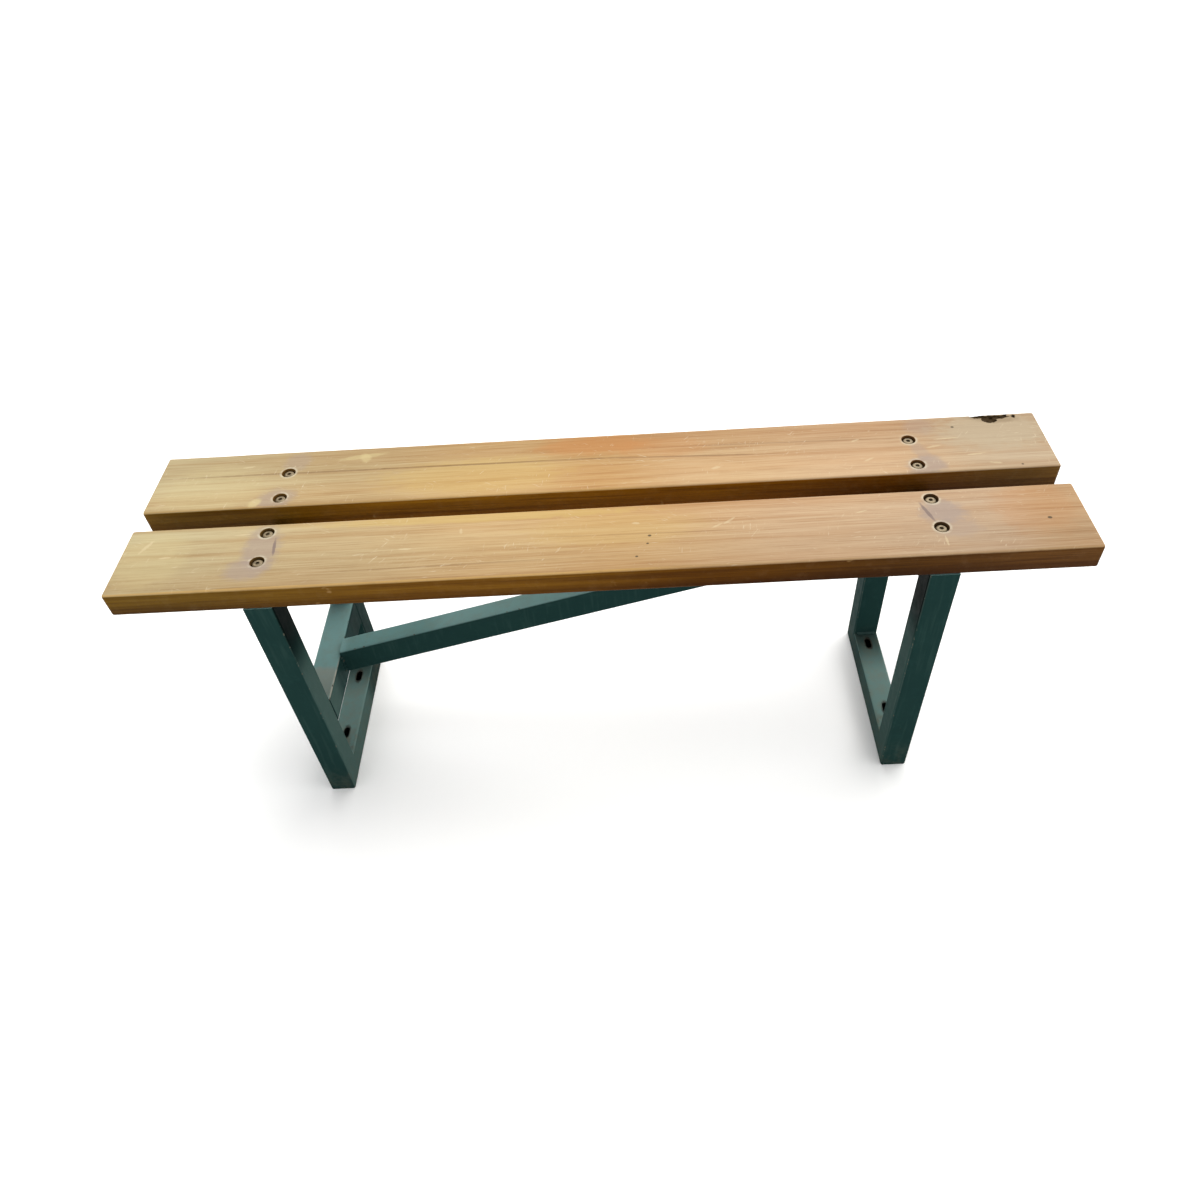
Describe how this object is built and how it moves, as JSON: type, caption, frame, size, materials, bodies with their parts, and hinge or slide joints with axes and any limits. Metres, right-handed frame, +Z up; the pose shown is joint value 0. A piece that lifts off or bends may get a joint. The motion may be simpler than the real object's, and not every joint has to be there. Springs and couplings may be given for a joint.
{
  "type": "slatted bench",
  "caption": "Backless slatted bench: timber planks bolted on welded rectangular tube leg frames, with a sloping brace between the frames and slotted foot rails for fixing to a floor.",
  "frame": {"origin": "on the floor, under the middle of the seat", "axes": "+X along the planks with the cross-railed frame at -X, +Y from the front to the back, +Z up"},
  "size_m": [1.2, 0.27, 0.44],
  "materials": {
    "varnished_timber": "worn satin varnish",
    "painted_steel": "weathered gloss paint",
    "painted_weld": "painted weld bead",
    "zinc_fasteners": "dull zinc plating"
  },
  "bodies": {
    "root": {"front_plank": "varnished_timber", "rear_plank": "varnished_timber", "left_front_leg": "painted_steel", "left_rear_leg": "painted_steel", "left_foot_rail": "painted_steel", "left_seat_bearer": "painted_steel", "left_middle_rail": "painted_steel", "right_front_leg": "painted_steel", "right_rear_leg": "painted_steel", "right_foot_rail": "painted_steel", "right_seat_bearer": "painted_steel", "diagonal_brace": "painted_steel", "left_corner_welds": "painted_weld", "right_corner_welds": "painted_weld", "middle_rail_welds": "painted_weld", "brace_welds": "painted_weld", "left_plank_bolts": "zinc_fasteners", "left_head_washers": "zinc_fasteners", "left_nut_washers": "zinc_fasteners", "left_nuts": "zinc_fasteners", "right_plank_bolts": "zinc_fasteners", "right_head_washers": "zinc_fasteners", "right_nut_washers": "zinc_fasteners", "right_nuts": "zinc_fasteners"}
  },
  "joints": []
}
